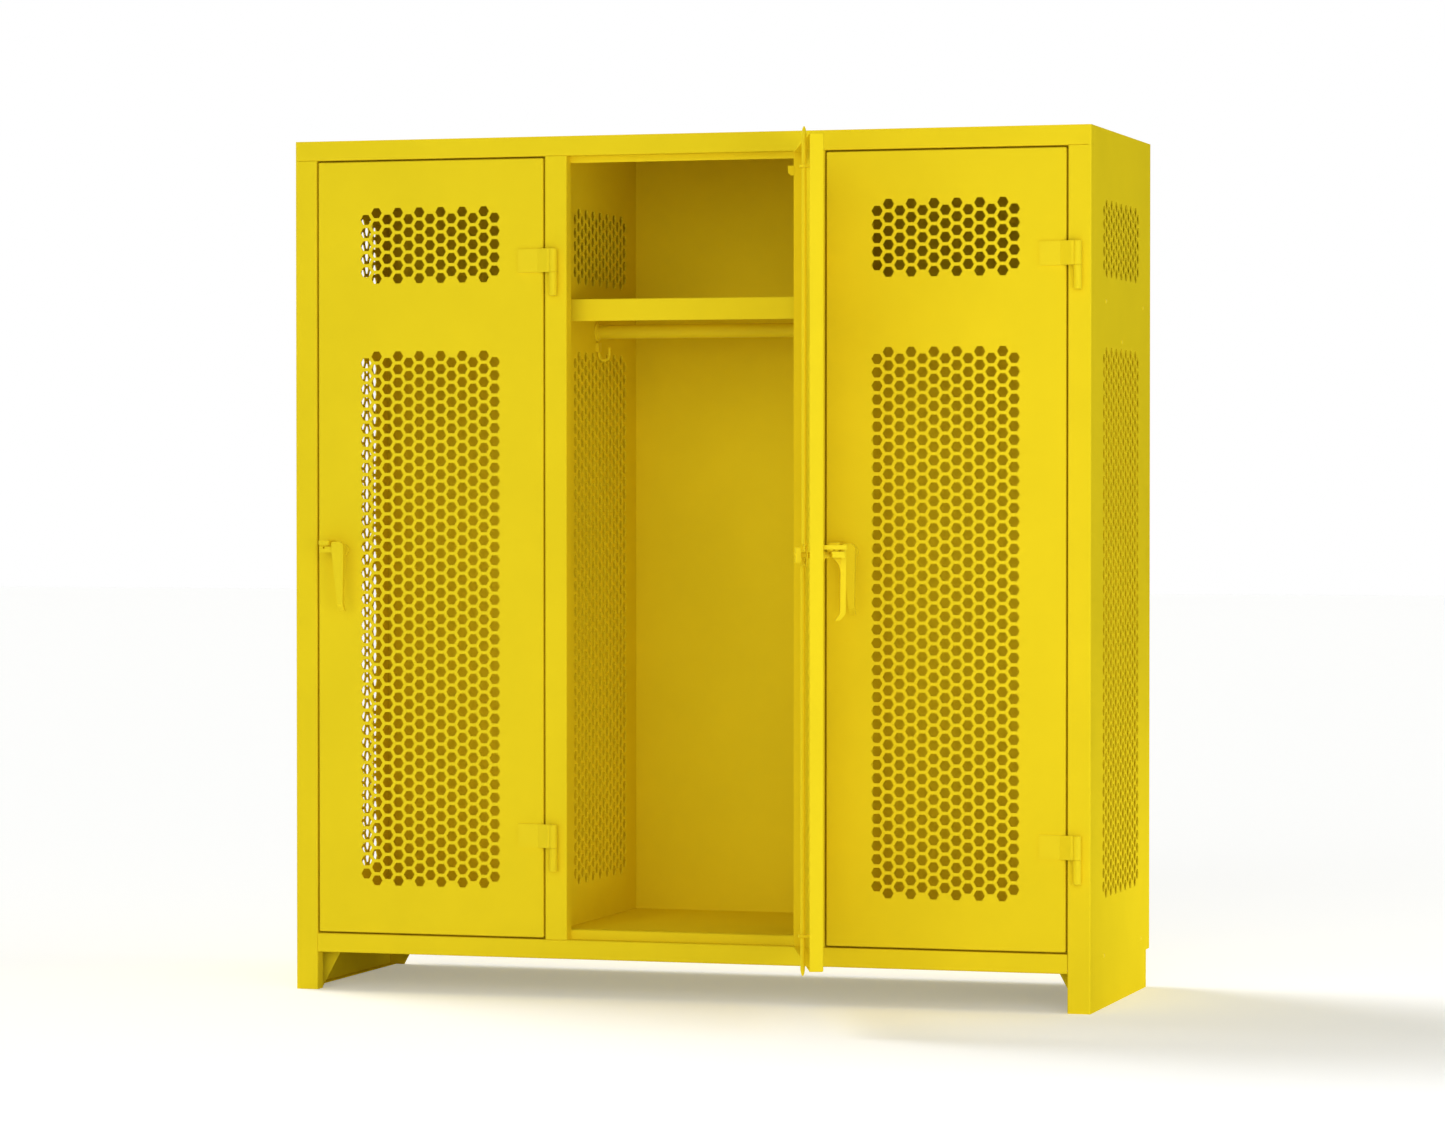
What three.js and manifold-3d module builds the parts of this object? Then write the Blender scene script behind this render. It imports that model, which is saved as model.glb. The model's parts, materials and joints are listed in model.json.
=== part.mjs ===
// Ventilated single-tier locker with three compartments, in millimetres, +Z up.
// The cabinet is laid out from its front left bottom corner: X to the right, Y into the depth.
// The finished group is moved so that the middle of its footprint is the origin.
import * as THREE from "three";
import { mergeVertices } from "three/addons/utils/BufferGeometryUtils.js";
import Module from "manifold-3d";

// Cabinet
const width = 1825;
const depth = 624;
const height = 1905;
const compartments = 3;
const places = ["left", "middle", "right"];
const sheet = 2.7;
const seam = 0.3;
const cutOverrun = 5;
const weldTolerance = 1e-4;

// Front frame
const stileFace = 50.8;
const frameDepth = 32;
const topRailFace = 43.6;
const bottomRailFace = 42.4;
const legHeight = 84.7;
const topLip = 14.2;
const bottomLip = 20;

// Base behind the legs
const gussetSetback = 62;
const gussetTop = 84;
const gussetFoot = 38;
const footFlange = 15;
const rearStep = 36;

// Inside
const backRecess = 48;
const floorRise = 20.9;
const floorDrop = 60;
const shelfDrop = 357;
const shelfLip = 49;
const shelfFront = 70;
const coatRodDrop = 66;
const coatRodRadius = 15.9;
const coatRodFlangeRadius = 22;
const coatRodFlange = 5;
const hookDrop = 90;
const hookPlateWidth = 22;
const hookPlateHeight = 20;
const hookPlateThickness = 3;
const hookWireRadius = 2.6;
const hookBendRadius = 12;
const hookTipRise = 10;
const bezierHandleShare = 4 / 3;

// Doors
const doorGap = 4;
const doorDepth = 28.5;
const doorCorner = 4;
const doorSwing = 109.5;
const restAngles = [0, doorSwing, 0];
const tabDepth = 12.5;
const tabHeight = 21;
const tabDrop = 32;
const tabBevel = 6;

// Vents: one wide column pattern on the doors, a coarser one on the sides and partitions
const doorVentMargin = 101.2;
const doorVentColumns = 4;
const sideVentMargin = 117.5;
const sideVentColumns = 3;
const ventWebShare = 0.25;
const ventBelowDoorTop = 101.4;
const ventAboveShelf = 34;
const ventBelowShelf = 112;
const ventAboveDoorBottom = 103.9;

// Hinges
const pinOffset = 27.5;
const pinStandoff = 11;
const pinRadius = 5;
const pinClearance = 0.5;
const barrelRadius = 9;
const barrelHalf = 52;
const upperHingeDrop = 252.4;
const lowerHingeRise = 199.9;
const leafThickness = 4;
const leafReach = 52.7;
const leafJoggle = 11;
const weldPadWidth = 10;
const weldPadMargin = 5;

// Lever, hasp and latch
const leverX = 60;
const leverBelowMiddle = 5.25;
const leverStandoff = 38.5;
const leverThickness = 11.5;
const leverLength = 131;
const leverTopLeft = 12.8;
const leverTopRight = 16.4;
const leverTipLeft = 2;
const leverTipRight = 18.5;
const leverHeadRadius = 19.6;
const leverNeckHalf = 11;
const leverFillet = 15;
const leverTipCurl = 20;
const leverTipThickness = 5;
const leverRoundShare = 1 / 3;
const collarRadius = 14;
const collarThickness = 5;
const collarClearance = 1;
const spindleRadius = 6;
const spindleClearance = 0.8;
const haspLeft = 18.2;
const haspRight = 43;
const haspReach = 50;
const haspBottom = 12;
const haspThickness = 9;
const haspCorner = 5;
const earGap = 4.5;
const earThickness = 8.5;
const earBack = 18;
const padlockRadius = 5.5;
const padlockSetback = 14;
const rodTravel = 30;
const rodRadius = 4.75;
const rodLipGap = 1.2;
const rodTipReach = 3.4;
const rodTipTaper = 9;
const rodTipShare = 0.5;
const eyeThickness = 3;
const eyeWall = 4;
const crankPinRadius = 3;
const crankPinClearance = 0.5;
const slotPlay = 0.7;
const camThickness = 3;
const camRim = 5;
const camBossRadius = 5.5;
const camBlockHalf = 15.5;
const camBlockDepth = 12;
const guideInset = 75;
const guideThickness = 3;
const guideWall = 4;
const guideClearance = 0.6;
const guideFoot = 20;
const notchClearance = 2;

// Counts of flat sides on round pieces, and of steps on round corners
const barrelSides = 12;
const rodSides = 8;
const smallSides = 8;
const curveSteps = 5;
const leverSteps = 4;
const cornerSteps = 3;
const eyeSteps = 2;
const hookSteps = 10;

// Worked out from the sizes above
const opening = (width - (compartments + 1) * stileFace) / compartments;
const bay = opening + stileFace;
const bottomRailTop = legHeight + bottomRailFace;
const topRailBottom = height - topRailFace;
const doorWidth = opening - 2 * doorGap;
const doorBottom = bottomRailTop + doorGap;
const doorTop = topRailBottom - doorGap;
const leverZ = (doorBottom + doorTop) / 2 - leverBelowMiddle;
const upperHingeSplit = doorTop - upperHingeDrop;
const lowerHingeSplit = doorBottom + lowerHingeRise;
const backInset = depth - backRecess;
const rearLegDepth = depth - rearStep;
const floorTop = bottomRailTop + floorRise;
const shelfTop = height - shelfDrop;
const doorVentWidth = doorWidth - 2 * doorVentMargin;
const sideVentWidth = depth - 2 * sideVentMargin;
const upperVentTop = doorTop - ventBelowDoorTop;
const upperVentBottom = shelfTop + ventAboveShelf;
const lowerVentTop = shelfTop - ventBelowShelf;
const lowerVentBottom = doorBottom + ventAboveDoorBottom;
const rodCentreY = frameDepth + rodLipGap + rodRadius;
const floorFront = rodCentreY + rodRadius + rodLipGap;
const crankRadius = rodTravel / Math.SQRT2;
const rodOffset = (crankRadius + crankRadius * Math.SQRT1_2) / 2;
const slotHalfWidth = (crankRadius - crankRadius * Math.SQRT1_2) / 2 + crankPinRadius + crankPinClearance;
const slotHalfHeight = crankPinRadius + crankPinClearance + slotPlay;
const camFront = rodCentreY - rodRadius - seam - camThickness;
const radians = THREE.MathUtils.degToRad;

const wasm = await Module();
wasm.setup();

// A closed geometry as a solid that can be joined and cut.
function solid(geometry) {
  const bare = new THREE.BufferGeometry();
  const source = geometry.index ? geometry.toNonIndexed() : geometry;
  bare.setAttribute("position", source.getAttribute("position"));
  const merged = mergeVertices(bare, weldTolerance);
  return new wasm.Manifold(
    new wasm.Mesh({
      numProp: 3,
      vertProperties: new Float32Array(merged.attributes.position.array),
      triVerts: new Uint32Array(merged.index.array),
    }),
  );
}

function join(first, ...others) {
  return others.reduce((sum, other) => sum.add(other), first);
}

function cut(body, ...tools) {
  return tools.reduce((rest, tool) => rest.subtract(tool), body);
}

// A solid as a named mesh with a material of its own.
function piece(name, body, look) {
  const mesh = body.getMesh();
  const geometry = new THREE.BufferGeometry();
  const corners = new Float32Array(mesh.numVert * 3);
  for (let i = 0; i < mesh.numVert; i++) {
    corners.set(mesh.vertProperties.subarray(i * mesh.numProp, i * mesh.numProp + 3), i * 3);
  }
  geometry.setAttribute("position", new THREE.BufferAttribute(corners, 3));
  geometry.setIndex(new THREE.BufferAttribute(new Uint32Array(mesh.triVerts), 1));
  geometry.computeVertexNormals();
  const result = new THREE.Mesh(geometry, new THREE.MeshStandardMaterial(look));
  result.name = name;
  return result;
}

// Looks of the painted steel
const sheetPaint = { color: 0xe2cc1e, roughness: 0.42, metalness: 0 };
const hardwarePaint = { color: 0xe4cf22, roughness: 0.38, metalness: 0 };

// Box between two corners.
function block(x0, x1, y0, y1, z0, z1) {
  const box = new THREE.BoxGeometry(x1 - x0, y1 - y0, z1 - z0);
  box.translate((x0 + x1) / 2, (y0 + y1) / 2, (z0 + z1) / 2);
  return solid(box);
}

// Extrusion of a shape along one axis, from one place to another on that axis.
function extrude(shape, axis, from, to, curveSegments = curveSteps) {
  const geometry = new THREE.ExtrudeGeometry(shape, { depth: to - from, bevelEnabled: false, curveSegments });
  const x = new THREE.Vector3(1, 0, 0);
  const y = new THREE.Vector3(0, 1, 0);
  const z = new THREE.Vector3(0, 0, 1);
  const turn = new THREE.Matrix4();
  if (axis === "x") turn.makeBasis(y, z, x).setPosition(from, 0, 0);
  if (axis === "y") turn.makeBasis(x, z, y.clone().negate()).setPosition(0, to, 0);
  if (axis === "z") turn.makeBasis(x, y, z).setPosition(0, 0, from);
  return solid(geometry.applyMatrix4(turn));
}

// Round bar along one axis; the two numbers in at are its place on the other two axes.
function bar(radius, axis, at, from, to, sides = smallSides, endRadius = radius) {
  const geometry = new THREE.CylinderGeometry(endRadius, radius, to - from, sides);
  const middle = (from + to) / 2;
  if (axis === "x") geometry.rotateZ(-Math.PI / 2).translate(middle, at[0], at[1]);
  if (axis === "y") geometry.translate(at[0], middle, at[1]);
  if (axis === "z") geometry.rotateX(Math.PI / 2).translate(at[0], at[1], middle);
  return solid(geometry);
}

function roundedRectangle(x0, x1, y0, y1, radius) {
  const shape = new THREE.Shape();
  shape.moveTo(x0 + radius, y0);
  shape.lineTo(x1 - radius, y0);
  shape.absarc(x1 - radius, y0 + radius, radius, -Math.PI / 2, 0);
  shape.lineTo(x1, y1 - radius);
  shape.absarc(x1 - radius, y1 - radius, radius, 0, Math.PI / 2);
  shape.lineTo(x0 + radius, y1);
  shape.absarc(x0 + radius, y1 - radius, radius, Math.PI / 2, Math.PI);
  shape.lineTo(x0, y0 + radius);
  shape.absarc(x0 + radius, y0 + radius, radius, Math.PI, 1.5 * Math.PI);
  return shape;
}

function polygon(points) {
  return new THREE.Shape(points.map(([x, y]) => new THREE.Vector2(x, y)));
}

// Hexagon with a flat top and bottom.
function hexagon(x, y, acrossFlats) {
  const corner = acrossFlats / Math.sqrt(3);
  const points = [];
  for (let i = 0; i < 6; i++) {
    points.push([x + corner * Math.cos((i * Math.PI) / 3), y + corner * Math.sin((i * Math.PI) / 3)]);
  }
  return points;
}

// Centres of the vent holes in one field; every second column holds one more hole.
function ventCentres(middle, fieldWidth, columns, bottom, top) {
  const pitch = fieldWidth / (columns * Math.cos(Math.PI / 6));
  const hole = pitch * (1 - ventWebShare);
  const columnPitch = pitch * Math.cos(Math.PI / 6);
  const tallCount = Math.floor((top - bottom - hole) / pitch) + 1;
  const centres = [];
  for (let column = 0; column < columns; column++) {
    const count = column % 2 ? tallCount : Math.max(1, tallCount - 1);
    for (let row = 0; row < count; row++) {
      const across = middle + (column - (columns - 1) / 2) * columnPitch;
      centres.push([across, (bottom + top) / 2 + (row - (count - 1) / 2) * pitch]);
    }
  }
  return { centres, hole };
}

// Vent holes of both fields, as paths that a sheet's outline takes.
function ventPaths(middle, fieldWidth, columns) {
  const fields = [
    ventCentres(middle, fieldWidth, columns, lowerVentBottom, lowerVentTop),
    ventCentres(middle, fieldWidth, columns, upperVentBottom, upperVentTop),
  ];
  const paths = [];
  for (const field of fields) {
    for (const [x, y] of field.centres) paths.push(polygon(hexagon(x, y, field.hole)));
  }
  return paths;
}

function stileLeft(index) {
  return index * bay;
}

function openingLeft(index) {
  return stileLeft(index) + stileFace;
}

function partitionMiddle(index) {
  return stileLeft(index) + stileFace / 2;
}

// Inner faces of the walls on both sides of a compartment.
function wallFaces(index) {
  const left = index === 0 ? sheet : partitionMiddle(index) + sheet / 2;
  const right = index === compartments - 1 ? width - sheet : partitionMiddle(index + 1) - sheet / 2;
  return [left, right];
}

// Side panel: vented sheet with a foot that stops short of the overhanging back.
function sidePanel(x0) {
  const front = frameDepth + seam;
  const outline = polygon([
    [front, 0],
    [rearLegDepth, 0],
    [rearLegDepth, legHeight],
    [depth, legHeight],
    [depth, height],
    [front, height],
  ]);
  outline.holes.push(...ventPaths(depth / 2, sideVentWidth, sideVentColumns));
  return extrude(outline, "x", x0, x0 + sheet);
}

function partition(index) {
  const middle = partitionMiddle(index);
  const front = sheet + seam;
  const rear = backInset - seam;
  const top = height - sheet - seam;
  const outline = polygon([
    [front, floorTop + seam],
    [rear, floorTop + seam],
    [rear, top],
    [frameDepth + seam, top],
    [frameDepth + seam, topRailBottom - seam],
    [front, topRailBottom - seam],
  ]);
  outline.holes.push(...ventPaths(depth / 2, sideVentWidth, sideVentColumns));
  return extrude(outline, "x", middle - sheet / 2, middle + sheet / 2);
}

// Back panel: a tray that opens to the rear, set in behind the rear overhang.
function backPanel() {
  const x0 = sheet + seam;
  const x1 = width - sheet - seam;
  const z1 = height - sheet - seam;
  const tray = block(x0, x1, backInset, depth, legHeight, z1);
  const hollow = block(
    x0 + sheet,
    x1 - sheet,
    backInset + sheet,
    depth + cutOverrun,
    legHeight + sheet,
    z1 - sheet,
  );
  return cut(tray, hollow);
}

function topPanel() {
  return block(sheet + seam, width - sheet - seam, sheet + seam, depth, height - sheet, height);
}

// Floor: a tray turned over, standing behind the latch rods.
function floorPanel() {
  const x0 = sheet + seam;
  const x1 = width - sheet - seam;
  const y1 = backInset - seam;
  const tray = block(x0, x1, floorFront, y1, floorTop - floorDrop, floorTop);
  const hollow = block(
    x0 + sheet,
    x1 - sheet,
    floorFront + sheet,
    y1 - sheet,
    floorTop - floorDrop - cutOverrun,
    floorTop - sheet,
  );
  return cut(tray, hollow);
}

// Slot in a stop lip where a latch rod passes when its door swings.
function rodNotch(index, side, z0, z1) {
  const x = openingLeft(index) + doorGap + leverX + side * rodOffset;
  const half = rodRadius + notchClearance;
  return block(x - half, x + half, frameDepth - sheet - cutOverrun, frameDepth + cutOverrun, z0, z1);
}

function stopLip(index, z0, z1) {
  const x0 = openingLeft(index) + seam;
  return block(x0, x0 + opening - 2 * seam, frameDepth - sheet, frameDepth, z0, z1);
}

// Top rail: face, lower return and end caps, with a stop lip over each door.
function topRail() {
  const shell = cut(
    block(0, width, 0, frameDepth, topRailBottom, height),
    block(sheet, width - sheet, sheet, frameDepth + cutOverrun, topRailBottom + sheet, height + cutOverrun),
  );
  let rail = shell;
  for (let i = 0; i < compartments; i++) {
    const lip = stopLip(i, topRailBottom - topLip, topRailBottom + sheet / 2);
    const notch = rodNotch(i, -1, topRailBottom - topLip - cutOverrun, topRailBottom);
    rail = join(rail, cut(lip, notch));
  }
  return rail;
}

// Bottom rail: a channel between the outer stiles, with a stop lip under each door.
function bottomRail() {
  const x0 = stileFace + seam;
  const x1 = width - stileFace - seam;
  let rail = cut(
    block(x0, x1, 0, frameDepth, legHeight, bottomRailTop),
    block(
      x0 - cutOverrun,
      x1 + cutOverrun,
      sheet,
      frameDepth + cutOverrun,
      legHeight + sheet,
      bottomRailTop - sheet,
    ),
  );
  for (let i = 0; i < compartments; i++) {
    const lip = stopLip(i, bottomRailTop - sheet / 2, bottomRailTop + bottomLip);
    const notch = rodNotch(i, 1, bottomRailTop, bottomRailTop + bottomLip + cutOverrun);
    rail = join(rail, cut(lip, notch));
  }
  return rail;
}

// Stile: a channel that opens to the rear; the outer ones run down to the floor as legs.
function stile(index) {
  const outer = index === 0 || index === compartments;
  const x0 = stileLeft(index);
  const z0 = outer ? 0 : bottomRailTop + seam;
  const z1 = topRailBottom - seam;
  return cut(
    block(x0, x0 + stileFace, 0, frameDepth, z0, z1),
    block(
      x0 + sheet,
      x0 + stileFace - sheet,
      sheet,
      frameDepth + cutOverrun,
      z0 - cutOverrun,
      z1 + cutOverrun,
    ),
  );
}

// Leg brace: foot flange along the skirt with a gusset plate at the front and at the rear.
function legBrace(side) {
  const inner = sheet + seam;
  const at = (x) => (side < 0 ? x : width - x);
  const outline = polygon([
    [at(inner), 0],
    [at(gussetFoot), 0],
    [at(gussetTop), legHeight - seam],
    [at(inner), legHeight - seam],
  ]);
  const rear = rearLegDepth - sheet;
  const [x0, x1] = [at(inner), at(inner + footFlange)].sort((a, b) => a - b);
  return join(
    extrude(outline, "y", gussetSetback, gussetSetback + sheet),
    extrude(outline, "y", rear, rear + sheet),
    block(x0, x1, frameDepth + seam, rear + sheet / 2, 0, sheet),
  );
}

// Shelf: top sheet with a deep front lip and a rear lip, fixed between the walls.
function shelf(index) {
  const [left, right] = wallFaces(index);
  const rear = backInset - seam;
  const low = shelfTop - shelfLip;
  const outline = polygon([
    [shelfFront, low],
    [shelfFront + sheet, low],
    [shelfFront + sheet, shelfTop - sheet],
    [rear - sheet, shelfTop - sheet],
    [rear - sheet, low],
    [rear, low],
    [rear, shelfTop],
    [shelfFront, shelfTop],
  ]);
  return extrude(outline, "x", left + seam, right - seam);
}

// Coat rod with a round flange at each wall.
function coatRod(index) {
  const [left, right] = wallFaces(index);
  const at = [backInset / 2, shelfTop - coatRodDrop];
  const x0 = left + seam;
  const x1 = right - seam;
  return join(
    bar(coatRodRadius, "x", at, x0, x1, barrelSides),
    bar(coatRodFlangeRadius, "x", at, x0, x0 + coatRodFlange, barrelSides),
    bar(coatRodFlangeRadius, "x", at, x1 - coatRodFlange, x1, barrelSides),
  );
}

// Coat hook: a plate on the wall with a round wire bent into a J.
function coatHook(index) {
  const [left] = wallFaces(index);
  const x0 = left + seam;
  const y = backInset / 2;
  const top = shelfTop - hookDrop;
  const plateBottom = top - hookPlateHeight;
  const wireX = x0 + hookPlateThickness + hookWireRadius / 2;
  const bendZ = plateBottom - hookWireRadius;
  const path = new THREE.CurvePath();
  const start = new THREE.Vector3(wireX, y, top - hookPlateHeight / 2);
  const bendStart = new THREE.Vector3(wireX, y, bendZ);
  const bendEnd = new THREE.Vector3(bendStart.x + 2 * hookBendRadius, y, bendZ);
  path.add(new THREE.LineCurve3(start, bendStart));
  const handle = bezierHandleShare * hookBendRadius;
  path.add(
    new THREE.CubicBezierCurve3(
      bendStart,
      new THREE.Vector3(bendStart.x, y, bendZ - handle),
      new THREE.Vector3(bendEnd.x, y, bendZ - handle),
      bendEnd,
    ),
  );
  path.add(new THREE.LineCurve3(bendEnd, new THREE.Vector3(bendEnd.x, y, bendZ + hookTipRise)));
  const section = new THREE.Shape();
  section.absarc(0, 0, hookWireRadius, 0, 2 * Math.PI);
  const sweep = { extrudePath: path, steps: hookSteps, curveSegments: cornerSteps };
  const wire = new THREE.ExtrudeGeometry(section, sweep);
  const half = hookPlateWidth / 2;
  const plate = block(x0, x0 + hookPlateThickness, y - half, y + half, plateBottom, top);
  return join(plate, solid(wire));
}

// Frame half of a hinge: lower barrel welded to the stile, with the pin standing up from it.
function hingePin(index, split) {
  const at = [openingLeft(index) + opening - doorGap + pinOffset, -pinStandoff];
  const low = split - barrelHalf;
  const pad = weldPadWidth / 2;
  return join(
    bar(barrelRadius, "z", at, low, split - seam, barrelSides),
    bar(pinRadius, "z", at, split - barrelHalf / 2, split + barrelHalf - pinClearance, barrelSides),
    block(at[0] - pad, at[0] + pad, at[1], -seam, low + weldPadMargin, split - weldPadMargin),
  );
}

// Door half of a hinge: strap on the door face, stepped out to its barrel.
function hingeLeaf(split) {
  const pin = [doorWidth + pinOffset, -pinStandoff];
  const edge = doorWidth - leafJoggle;
  const back = -seam;
  const front = back - leafThickness;
  const strap = polygon([
    [doorWidth - leafReach, back],
    [doorWidth - leafReach, front],
    [edge, front],
    [pin[0] - pinRadius, pin[1] - barrelRadius + pinClearance],
    [pin[0], pin[1] - barrelRadius + leafThickness],
    [edge, back],
  ]);
  const z1 = split + barrelHalf;
  const body = join(extrude(strap, "z", split, z1), bar(barrelRadius, "z", pin, split, z1, barrelSides));
  const bore = pinRadius + pinClearance;
  return cut(body, bar(bore, "z", pin, split - cutOverrun, z1 + cutOverrun, barrelSides));
}

// Door: a vented tray, open at the back, with an anti-pry tab behind its hinge edge.
function doorPan() {
  const outline = roundedRectangle(0, doorWidth, doorBottom, doorTop, doorCorner);
  const inside = roundedRectangle(
    sheet,
    doorWidth - sheet,
    doorBottom + sheet,
    doorTop - sheet,
    doorCorner - sheet / 2,
  );
  const rim = outline.clone();
  rim.holes.push(inside);
  outline.holes.push(...ventPaths(doorWidth / 2, doorVentWidth, doorVentColumns));
  const tabTop = doorTop - tabDrop;
  const tab = polygon([
    [doorDepth - sheet, tabTop],
    [doorDepth - sheet, tabTop - tabHeight],
    [doorDepth + tabDepth - tabBevel, tabTop - tabHeight],
    [doorDepth + tabDepth, tabTop - tabHeight + tabBevel],
    [doorDepth + tabDepth, tabTop],
  ]);
  const pan = join(
    extrude(outline, "y", 0, sheet, cornerSteps),
    extrude(rim, "y", sheet / 2, doorDepth, cornerSteps),
    extrude(tab, "x", doorWidth - sheet, doorWidth),
  );
  const bore = spindleRadius + spindleClearance;
  return cut(pan, bar(bore, "y", [leverX, leverZ], -cutOverrun, sheet + cutOverrun));
}

// Fixed hasp plate over the lever, with the padlock's hole.
function hasp() {
  const outline = roundedRectangle(haspLeft, haspRight, -haspReach, haspCorner, haspCorner);
  const z0 = leverZ + haspBottom;
  const plate = extrude(outline, "z", z0, z0 + haspThickness, cornerSteps);
  const trimmed = cut(plate, block(-cutOverrun, doorWidth, -seam, doorDepth, 0, height));
  return cut(trimmed, padlockHole(z0 - cutOverrun, z0 + haspThickness + cutOverrun));
}

function padlockHole(z0, z1) {
  const at = [(haspLeft + haspRight) / 2, -haspReach + padlockSetback];
  return bar(padlockRadius, "z", at, z0, z1);
}

// Side view of the lever: neck, grip and a tip that curls back to the door.
function leverProfile() {
  const outer = -leverStandoff - leverThickness;
  const inner = -leverStandoff;
  const top = leverZ + leverHeadRadius;
  const tip = leverZ - leverLength;
  const neckTop = leverZ + leverNeckHalf;
  const neckLow = leverZ - leverNeckHalf;
  const round = leverThickness * leverRoundShare;
  const shape = new THREE.Shape();
  shape.moveTo(-collarClearance, neckTop);
  shape.lineTo(inner, neckTop);
  shape.lineTo(inner, top - round);
  shape.quadraticCurveTo(inner, top, inner - round, top);
  shape.lineTo(outer + round, top);
  shape.quadraticCurveTo(outer, top, outer, top - round);
  shape.lineTo(outer, tip + leverTipCurl);
  shape.quadraticCurveTo(outer, tip + leverTipThickness, inner, tip + leverTipThickness / 2);
  shape.lineTo(inner + leverTipCurl / 2, tip);
  shape.lineTo(inner + leverTipCurl / 2, tip + leverTipThickness);
  shape.quadraticCurveTo(inner, tip + 2 * leverTipThickness, inner, tip + leverTipCurl);
  shape.lineTo(inner, neckLow - leverFillet);
  shape.quadraticCurveTo(inner, neckLow, inner + leverFillet, neckLow);
  shape.lineTo(-collarClearance, neckLow);
  return shape;
}

// Front view of the lever: round head and a grip that tapers to its tip.
function leverOutline() {
  const tip = leverZ - leverLength - cutOverrun;
  const shape = new THREE.Shape();
  const right = Math.acos(leverTopRight / leverHeadRadius);
  const left = Math.PI - Math.acos(leverTopLeft / leverHeadRadius);
  shape.moveTo(leverX + leverTipLeft, tip);
  shape.lineTo(leverX + leverTipRight, tip);
  shape.lineTo(leverX + leverTopRight, leverZ);
  shape.absarc(leverX, leverZ, leverHeadRadius, right, left);
  shape.lineTo(leverX - leverTopLeft, leverZ);
  return shape;
}

// Lever with its collar and spindle, and the ear that the padlock holds under the hasp.
function lever() {
  const reach = Math.max(leverHeadRadius, leverTipRight) + cutOverrun;
  const side = extrude(leverProfile(), "x", leverX - reach, leverX + reach, leverSteps);
  const front = extrude(leverOutline(), "y", -leverStandoff - leverThickness - cutOverrun, 0, leverSteps);
  const earTop = leverZ + haspBottom - earGap;
  const ear = roundedRectangle(
    haspLeft,
    leverX,
    -leverStandoff - leverThickness + sheet,
    -earBack,
    haspCorner,
  );
  const at = [leverX, leverZ];
  const body = join(
    side.intersect(front),
    extrude(ear, "z", earTop - earThickness, earTop, cornerSteps),
    bar(collarRadius, "y", at, -collarClearance - collarThickness, -collarClearance, barrelSides),
    bar(spindleRadius, "y", at, -leverStandoff, camFront - seam),
  );
  return cut(body, padlockHole(earTop - earThickness - cutOverrun, earTop + cutOverrun));
}

// Place of a crank pin about the lever's axis: the upper rod's is at the upper left.
function crankAt(side) {
  const share = crankRadius * Math.SQRT1_2;
  return [leverX + side * share, leverZ - side * share];
}

// Cam: plate with two crank pins, and the square block that clamps it on the spindle.
function cam() {
  const at = [leverX, leverZ];
  const plateBack = camFront + camThickness;
  const blockFront = rodCentreY + rodRadius + seam;
  const pinBack = rodCentreY + eyeThickness / 2 + seam;
  const half = camBlockHalf;
  return join(
    bar(crankRadius + camRim, "y", at, camFront, plateBack, barrelSides),
    bar(camBossRadius, "y", at, plateBack - seam, blockFront + seam),
    block(leverX - half, leverX + half, blockFront, blockFront + camBlockDepth, leverZ - half, leverZ + half),
    bar(crankPinRadius, "y", crankAt(-1), plateBack - seam, pinBack),
    bar(crankPinRadius, "y", crankAt(1), plateBack - seam, pinBack),
  );
}

// Latch rod: a round bar with a flat slotted eye on the crank pin and a tapered tip.
// The pin turns while the rod slides evenly, so the slot also leaves the pin some play in height.
function latchRod(side) {
  const x = leverX + side * rodOffset;
  const up = -side;
  const eyeZ = leverZ + up * crankRadius * Math.SQRT1_2;
  const tip = up > 0 ? doorTop + rodTipReach : doorBottom - rodTipReach;
  const taper = tip - up * rodTipTaper;
  const eyeEdge = slotHalfHeight + eyeWall;
  const start = eyeZ + up * (eyeEdge - seam);
  const y0 = rodCentreY - eyeThickness / 2;
  const y1 = rodCentreY + eyeThickness / 2;
  const halfWidth = slotHalfWidth + eyeWall;
  const eye = roundedRectangle(x - halfWidth, x + halfWidth, eyeZ - eyeEdge, eyeZ + eyeEdge, eyeWall);
  eye.holes.push(
    roundedRectangle(
      x - slotHalfWidth,
      x + slotHalfWidth,
      eyeZ - slotHalfHeight,
      eyeZ + slotHalfHeight,
      crankPinRadius,
    ),
  );
  const at = [x, rodCentreY];
  const [low, high] = [start, taper].sort((a, b) => a - b);
  const [tipLow, tipHigh] = [taper, tip].sort((a, b) => a - b);
  const narrow = rodRadius * rodTipShare;
  const end =
    up > 0
      ? bar(rodRadius, "z", at, tipLow - seam, tipHigh, rodSides, narrow)
      : bar(narrow, "z", at, tipLow, tipHigh + seam, rodSides, rodRadius);
  return join(extrude(eye, "y", y0, y1, eyeSteps), bar(rodRadius, "z", at, low, high, rodSides), end);
}

// Rod guide: bracket from the door skin with a hole that the rod slides in.
function rodGuide(side) {
  const x = leverX + side * rodOffset;
  const z = side < 0 ? doorTop - guideInset : doorBottom + guideInset;
  const hole = rodRadius + guideClearance;
  const half = hole + guideWall;
  const back = rodCentreY + half;
  const foot = side < 0 ? [z - guideFoot, z + guideThickness] : [z, z + guideFoot];
  const body = join(
    block(x - half, x + half, sheet + seam, back, z, z + guideThickness),
    block(x - half, x + half, sheet + seam, sheet + seam + guideThickness, foot[0], foot[1]),
  );
  const bore = bar(hole, "z", [x, rodCentreY], z - cutOverrun, z + guideThickness + cutOverrun, rodSides);
  return cut(body, bore);
}

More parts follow.
